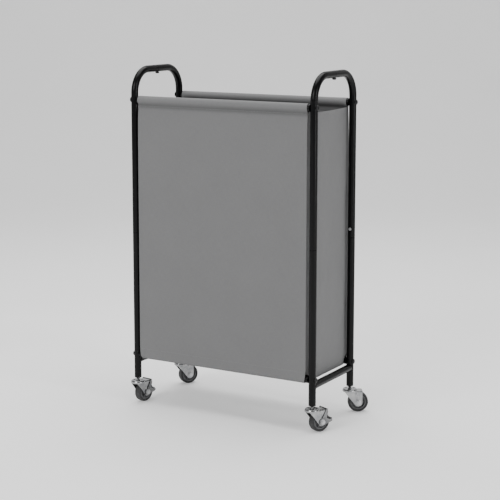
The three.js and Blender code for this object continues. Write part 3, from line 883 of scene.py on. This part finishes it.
def pedal_mesh():
    """The brake pedal: two arms with a foot branch and a release branch, joined by two lips."""
    def about_axle(points):
        return [(TRAIL + x, WHEEL_R + z) for x, z in points]

    arm = arc((0, 0), 8.5, 100, 300, 24) + [(14, -5), (22, -3)] + arc((26.4, -0.2), 1.6, -60, 0, 4)
    arm += [(28, 3.3), (20, 4.3), (14.4, 6.6), (12.6, 8.6), (12.6, 11), (15.8, 22)]
    arm += arc((13.6, 29.3), 1.2, 10, 90, 4) + arc((12.2, 29.3), 1.2, 90, 170, 4) + [(7, 21)]
    arm = about_axle(arm)
    lip = about_axle([(12.8, 25.5), (14.3, 25.5), (14.3, 30.5), (12.8, 30.5)])
    bar = about_axle([(26.4, -1.2), (27.9, -1.2), (27.9, 3.3), (26.4, 3.3)])
    tab = about_axle([(26.6, 0.8), (29, 1.8), (31.4, 3.8), (30.6, 4.9), (28.4, 3.2), (26.6, 2.3)])
    lip_y = PEDAL_OUT - 0.4
    others = [
        plate("arm", arm, -PEDAL_OUT, -PEDAL_IN),
        plate("lip", lip, -lip_y, lip_y),
        plate("bar", bar, -lip_y, lip_y),
        plate("tab", tab, -9.9, 9.9),
    ]
    mesh = combined(plate("arm", arm, PEDAL_IN, PEDAL_OUT), others)
    return bevelled(combined(mesh, [axle_cutter(PIN_HOLE_R)], "DIFFERENCE"), 0.35, 2, 40)


def leaf_mesh():
    """The spring leaf over the tread, under the pedal."""
    centre, low, high = (TRAIL, WHEEL_R), 34.5, 84.5
    leaf = arc(centre, LEAF_OUT, low, high, 24) + arc(centre, LEAF_IN, high, low, 24)
    return bevelled(plate("leaf", leaf, -6, 6), 0.15, 1, 60)


def build_casters():
    for corner in CORNERS:
        place = caster_place(corner)
        braked = f"pedal_{corner}" in frame["bodies"]
        axle = axle_mesh(PEDAL_OUT if braked else FORK_OUT)
        swivel, wheel = f"swivel_{corner}", f"wheel_{corner}"
        rows = [
            ("caster_stem", stem_mesh(), ZINC, "frame", "zinc_plate"),
            ("caster_fork", fork_mesh(), ZINC, swivel, "zinc_plate"),
            ("caster_axle", axle, STEEL, swivel, "bare_steel"),
            ("wheel_hub", hub_mesh(), HUB, wheel, "hub_plastic"),
            ("tyre", tyre_mesh(), RUBBER, wheel, "tyre_rubber"),
        ]
        if braked:
            rows.append(("brake_pedal", pedal_mesh(), PEDAL_ZINC, f"pedal_{corner}", "zinc_plate"))
            rows.append(("brake_leaf", leaf_mesh(), STEEL, swivel, "bare_steel"))
        for kind, mesh, material, body, slot in rows:
            mesh.transform(place)
            stand_in(f"{kind}_{corner}", mesh, material, body)


build_casters()


# ---- Bag ----------------------------------------------------------------------------------
# In millimetres from the posts' middle. Panels are grids: rows go down, columns go across.
HALF = BAG_HALF / MM
RAIL_Y = POST_Y / MM
TOP_Z = TOP_RAIL_Z / MM
LOW_Z = BOTTOM_RAIL_Z / MM
PANELS = (("front_panel", -1, "front"), ("back_panel", 1, "rear"))
CLOTH = 0.8
SLEEVE = 9.6
CREASE = (RAIL_Y + 3.4, TOP_Z - 12.6)
LOW_STITCH = (RAIL_Y + 9.5, LOW_Z + 17)
SHEET_ROWS = 55
SHEET_COLUMNS = 42
CROSS_COLUMNS = 20
GUSSET_TOP = 743
FLOOR_Z = 118.4
CORNER_ROWS = ((92.4, 134), (88.5, 126), (88.4, FLOOR_Z))
DIVIDER_X = HALF / 3
# Slack in millimetres, before the cloth is simulated.
PANEL_SLACK, GUSSET_SLACK, DIVIDER_SLACK, FLOOR_SLACK = 1.5, 3.2, 4.5, 2.0


def spread(half, columns):
    """Places from -half to half, one at each column's edge."""
    return [half * (2 * j / columns - 1) for j in range(columns + 1)]


def sheet_section():
    """(distance from the middle, height) down the free sheet of a front or back panel."""
    bulge = 4.4
    made = []
    for i in range(SHEET_ROWS + 1):
        t = i / SHEET_ROWS
        out = CREASE[0] + bulge * (1 - math.exp(-t * 30)) + t * (LOW_STITCH[0] - CREASE[0] - bulge)
        made.append((out, CREASE[1] + t * (LOW_STITCH[1] - CREASE[1])))
    return made


def top_sleeve_section():
    """From the hem's tail inside, round the top rail, to the crease where the sheet begins."""
    made = [(CREASE[0] - 0.9, CREASE[1] - z) for z in (9, 3, 0)]
    return made + [(RAIL_Y - y, TOP_Z + z) for y, z in arc((0, 0), SLEEVE, -59, 212, 34)]


def low_sleeve_section():
    """From the sheet's lowest row down round the bottom rail and back up to the tail inside."""
    made = [(RAIL_Y + SLEEVE, LOW_Z + z) for z in (6, 2)]
    made += [(RAIL_Y - y, LOW_Z + z) for y, z in arc((0, 0), SLEEVE, 180, 417, 30)]
    return made + [(LOW_STITCH[0] - 0.9, LOW_STITCH[1] + z) for z in (0, 8)]


def slack(point, direction, amount, seed):
    """A point moved along a direction by soft noise, for cloth a little longer than its span."""
    wide = noise.noise(Vector(point) / 95 + Vector((seed, 0, 0)))
    fine = noise.noise(Vector(point) / 34 + Vector((0, seed, 0)))
    return Vector(point) + Vector(direction) * amount * (wide + 0.45 * fine)


class Shell:
    """Panels joined at their shared edges into one mesh, to be simulated together."""

    def __init__(self):
        self.points, self.faces, self.pinned, self.grids, self.known = [], [], set(), {}, {}

    def vertex(self, point):
        key = tuple(round(c, 1) for c in point)
        if key not in self.known:
            self.known[key] = len(self.points)
            self.points.append(Vector(point))
        return self.known[key]

    def add(self, name, rows, direction, amount, held):
        """Rows of points. Held(row, column) says which points are sewn to a rail's sleeve."""
        grid = [[self.vertex(p) for p in row] for row in rows]
        last_row, last_column = len(grid) - 1, len(grid[0]) - 1
        for i, row in enumerate(grid):
            for j, v in enumerate(row):
                if held(i, j):
                    self.pinned.add(v)
                elif 0 < i < last_row and 0 < j < last_column:
                    self.points[v] = slack(self.points[v], direction, amount, len(self.grids) * 7.3)
        for i in range(last_row):
            for j in range(last_column):
                self.faces.append((grid[i][j], grid[i + 1][j], grid[i + 1][j + 1], grid[i][j + 1]))
        self.grids[name] = np.array(grid)


def cross_rows(x, lowest_z):
    """The rows of a gusset or divider. Its edges follow the panels, then the bottom sleeves."""
    across = spread(1, CROSS_COLUMNS)
    rows = []
    for i, (half, z) in enumerate(sheet_section()):
        dip = (CREASE[1] - GUSSET_TOP) * max(0, 1 - i / 4)
        rows.append([(x, t * half, z - dip * (1 - abs(t) ** 5)) for t in across])
    for half, z in CORNER_ROWS:
        rows.append([(x, t * half, max(z, lowest_z)) for t in across])
    return rows


def build_shell():
    shell = Shell()
    across = spread(HALF, SHEET_COLUMNS)
    for name, sign, _ in PANELS:
        rows = [[(x, sign * out, z) for x in across] for out, z in sheet_section()]
        shell.add(name, rows, (0, 1, 0), PANEL_SLACK, lambda i, j: i in (0, SHEET_ROWS))
    last = SHEET_ROWS + len(CORNER_ROWS)
    edges = (0, CROSS_COLUMNS)

    def at_sleeve(i, j):
        return j in edges and i >= SHEET_ROWS

    def at_sleeve_or_floor(i, j):
        return i == last or at_sleeve(i, j)

    for side, sign in SIDES:
        rows = cross_rows(sign * HALF, 0)
        shell.add(f"gusset_{side}", rows, (1, 0, 0), GUSSET_SLACK, at_sleeve)
        rows = cross_rows(sign * DIVIDER_X, FLOOR_Z + 1.5)
        shell.add(f"divider_{side}", rows, (1, 0, 0), DIVIDER_SLACK, at_sleeve_or_floor)
    rows = [[(x, y, FLOOR_Z) for x in across] for y in spread(CORNER_ROWS[-1][0], CROSS_COLUMNS)]
    shell.add("bottom", rows, (0, 0, 1), FLOOR_SLACK, lambda i, j: i in edges)
    return shell


def settled(shell, frames=36):
    """The shell's points after it hangs under its own weight."""
    mesh = mesh_of("shell", [p * MM for p in shell.points], shell.faces)
    cloth = linked("shell", mesh)
    pins = cloth.vertex_groups.new(name="pins")
    pins.add(sorted(shell.pinned), 1.0, "REPLACE")
    modifier = cloth.modifiers.new("cloth", "CLOTH")
    settings = modifier.settings
    settings.vertex_group_mass = "pins"
    settings.quality = 7
    settings.mass = 0.0003
    settings.tension_stiffness = 30
    settings.compression_stiffness = 30
    settings.shear_stiffness = 8
    settings.bending_stiffness = 0.4
    settings.air_damping = 2
    modifier.collision_settings.use_collision = False
    modifier.collision_settings.use_self_collision = False
    modifier.point_cache.frame_start = 1
    modifier.point_cache.frame_end = frames
    for k in range(1, frames + 1):
        bpy.context.scene.frame_set(k)
    mesh = applied(cloth)
    bpy.context.scene.frame_set(1)
    return [v.co / MM for v in mesh.vertices]


def cloth_piece(node, rows):
    """A panel from its grid of points, smoothed, given thickness, and with UVs in metres."""
    name = f"{node}_cloth"
    grid = np.array([[tuple(p) for p in row] for row in rows])
    down = np.concatenate([[0], np.cumsum(np.linalg.norm(np.diff(grid, axis=0), axis=2).mean(1))])
    span = np.linalg.norm(np.diff(grid, axis=1), axis=2).mean(0)
    over = np.concatenate([[0], np.cumsum(span)])
    n_rows, n_columns = grid.shape[:2]
    origin = np.array([CENTRE.x, CENTRE.y, 0])
    points = grid.reshape(-1, 3) * MM + origin
    faces = []
    for i in range(n_rows - 1):
        for j in range(n_columns - 1):
            a = i * n_columns + j
            faces.append((a, a + n_columns, a + n_columns + 1, a + 1))
    mesh = mesh_of(name, points, faces)
    layer = mesh.uv_layers.new(name="cloth")
    for loop in mesh.loops:
        i, j = divmod(loop.vertex_index, n_columns)
        layer.data[loop.index].uv = (over[j] * MM, down[i] * MM)
    holder = linked("holder", mesh)
    smooth = holder.modifiers.new("smooth", "SUBSURF")
    smooth.levels = 2
    smooth.boundary_smooth = "PRESERVE_CORNERS"
    thick = holder.modifiers.new("thick", "SOLIDIFY")
    thick.thickness = CLOTH * MM
    thick.offset = 0
    mesh = applied(holder)
    # Front and back panels take the cloth with painted shade.
    look = PANEL_FABRIC_PAINTED_SHADE if node.endswith("panel") else FABRIC
    made = piece(name, mesh, look, "frame", [node], 60)
    return made


def hemmed(rows, inwards, depth=12):
    """The rows of a panel with a hem folded over its top row, in the direction inwards."""
    rows = [[Vector(p) for p in row] for row in rows]
    turn = Vector(inwards)
    down = Vector((0, 0, -1))
    top = rows[0]
    inside = [[p + turn + down * d for p in top] for d in (depth, 0.55 * depth, 1.6)]
    fold = ((0.9, 0.15), (0.5, 0.45), (0.1, 0.15))
    over = [[p + turn * t + Vector((0, 0, z)) for p in top] for t, z in fold]
    below = [[p + down * 1.6 for p in top]]
    return inside + over + below + rows[1:]


def build_panel(name, sign, sheet):
    """A front or back panel: its free sheet and the sleeve at each end of it."""
    columns = spread(HALF, SHEET_COLUMNS)
    top = [[Vector((x, sign * out, z)) for x in columns] for out, z in top_sleeve_section()]
    low = []
    for out, z in low_sleeve_section():
        t = min(1, max(0, (LOW_STITCH[1] - z) / 24))
        narrow = (HALF - 4.5 * t * t) / HALF
        low.append([Vector((x * narrow, sign * out, z)) for x in columns])
    return cloth_piece(f"bag_{name}", top + sheet + low)


def build_bag():
    """The seven panels: the front and back with their sleeves, the gussets and dividers with their
    hems, and the bottom.
    """
    shell = build_shell()
    points = settled(shell)
    grids = {name: [[points[v] for v in row] for row in grid] for name, grid in shell.grids.items()}
    made = {name: build_panel(name, sign, grids[name]) for name, sign, end in PANELS}
    for kind in ("gusset", "divider"):
        for side, sign in SIDES:
            name = f"{kind}_{side}"
            rows = hemmed(grids[name], (-sign, 0, 0))
            made[name] = cloth_piece(f"bag_{name}", rows)
    cloth_piece("bag_bottom", grids["bottom"])
    return made


bag = build_bag()


STITCH_PITCH = 3.2
STITCH_HALF = 1.15
STITCH_R = 0.26
# Each ring of a stitch: its place along as a share of half the length, and its width and lift as
# shares of the radius.
STITCH_END = ((-1, 0.15, -0.35), (-0.8, 0.7, 0.1), (-0.3, 1, 0.55))
STITCH_RINGS = STITCH_END + tuple((-along, width, lift) for along, width, lift in STITCH_END[::-1])


def stitch_row(name, panel, start, end, towards):
    """A row of stitches between two points, each set on the panel by looking along a direction."""
    places = [v.co.copy() for v in panel.data.vertices]
    tree = BVHTree.FromPolygons(places, [tuple(p.vertices) for p in panel.data.polygons])
    start, end, towards = Vector(start), Vector(end), Vector(towards)
    count = int((end - start).length / STITCH_PITCH)
    points, faces = [], []
    for k in range(count):
        eye = CENTRE + (start.lerp(end, (k + 0.5) / count) - 60 * towards) * MM
        hit, normal = tree.ray_cast(eye, towards)[:2]
        if hit is None:
            continue
        out = normal if normal.dot(towards) < 0 else -normal
        along = (end - start).normalized()
        along = (along - out * along.dot(out)).normalized()
        across = out.cross(along)
        base = len(points)
        for step, width, lift in STITCH_RINGS:
            middle_of_ring = hit + (along * step * STITCH_HALF + out * lift * STITCH_R) * MM
            for i in range(6):
                a = math.pi / 3 * i
                rim = math.cos(a) * across + math.sin(a) * out
                points.append(middle_of_ring + rim * width * STITCH_R * MM)
        for r in range(len(STITCH_RINGS) - 1):
            for i in range(6):
                a, b = base + 6 * r + i, base + 6 * r + (i + 1) % 6
                faces.append((a, b, b + 6, a + 6))
        faces.append(tuple(base + i for i in range(5, -1, -1)))
        faces.append(tuple(base + 6 * (len(STITCH_RINGS) - 1) + i for i in range(6)))
    piece(name, mesh_of(name, points, faces), THREAD, "frame", smooth_angle=80)


def build_stitches():
    wide, deep = HALF - 4, RAIL_Y + 3
    hem_z = GUSSET_TOP - 10
    for name, sign, _ in PANELS:
        for level, z in (("top", CREASE[1] - 1.2), ("low", LOW_STITCH[1])):
            ends = ((-wide, sign * RAIL_Y, z), (wide, sign * RAIL_Y, z))
            stitch_row(f"stitches_{name}_{level}", bag[name], *ends, (0, -sign, 0))
    for kind, x in (("gusset", HALF), ("divider", DIVIDER_X)):
        for side, sign in SIDES:
            ends = ((sign * x, -deep, hem_z), (sign * x, deep, hem_z))
            stitch_row(f"stitches_{kind}_{side}_hem", bag[f"{kind}_{side}"], *ends, (-sign, 0, 0))
    for side, sign in SIDES:
        for end, facing in ENDS:
            y = facing * deep
            ends = ((sign * HALF, y, hem_z - 4), (sign * HALF, y, LOW_STITCH[1] + 8))
            stitch_row(f"stitches_gusset_{side}_{end}", bag[f"gusset_{side}"], *ends, (-sign, 0, 0))


build_stitches()


# ---- Studio -------------------------------------------------------------------------------
AHEAD = Vector((-math.sin(CAMERA_YAW), math.cos(CAMERA_YAW), 0))
ASIDE = Vector((AHEAD.y, -AHEAD.x, 0))
FLOOR_NEAR, FLOOR_FAR, FLOOR_SIDE = -20, 3, 25
BACKDROP_BEND, BACKDROP_TOP = 2, 9
# Each softbox: (ahead, aside, up) from the middle, the height it aims at, its size and its watts.
SOFTBOXES = {
    "key": ((-2.2, 2.6, 1.25), 1.0, (0.35, 2.4), 44),
    "fill": ((-3.0, -2.4, 2.4), 0.4, (2.0, 2.0), 94),
    "top": ((0.4, 0, 3.4), 0, (3.0, 3.0), 135),
}


def build_backdrop():
    """A pale floor that curves up into a backdrop behind the sorter."""
    section = [(FLOOR_NEAR, 0), (FLOOR_FAR, 0)]
    for a in np.linspace(0.1, math.pi / 2, 16):
        section.append((FLOOR_FAR + BACKDROP_BEND * math.sin(a), BACKDROP_BEND * (1 - math.cos(a))))
    section.append((FLOOR_FAR + BACKDROP_BEND, BACKDROP_TOP))
    points, faces = [], []
    for k, (along, z) in enumerate(section):
        points += [AHEAD * along + ASIDE * x + Vector((0, 0, z)) for x in (-FLOOR_SIDE, FLOOR_SIDE)]
        if k:
            faces.append((2 * k - 2, 2 * k - 1, 2 * k + 1, 2 * k))
    floor = linked("floor", mesh_of("floor", points, faces))
    material, tree, shader, place = new_material("floor_paint")
    cloud = noise_at(tree, place, 3, 3)
    set_inputs(shader, {
        "Base Color": ramp(tree, cloud, [(0.3, 0.88), (0.7, 0.91)]),
        "Roughness": 0.8,
        "Emission Color": 1,
        "Emission Strength": 0.22,
    })
    for polygon in floor.data.polygons:
        polygon.use_smooth = True
    floor.data.materials.append(material)


def build_lights():
    """Soft white lights, and a dim white world."""
    for name, ((ahead, aside, up), aim, size, power) in SOFTBOXES.items():
        light = bpy.data.lights.new(name, "AREA")
        light.shape = "RECTANGLE"
        light.size, light.size_y = size
        light.energy = power
        made = linked(name, light)
        made.location = ahead * AHEAD + aside * ASIDE + Vector((0, 0, up))
        facing = Vector((0, 0, aim)) - made.location
        made.rotation_euler = facing.to_track_quat("-Z", "Y").to_euler()
    world = bpy.data.worlds.new("studio")
    world.use_nodes = True
    set_inputs(world.node_tree.nodes["Background"], {"Color": 1, "Strength": 0.3})
    bpy.context.scene.world = world


build_backdrop()
build_lights()

# ---- End ----------------------------------------------------------------------------------
bpy.context.view_layer.update()
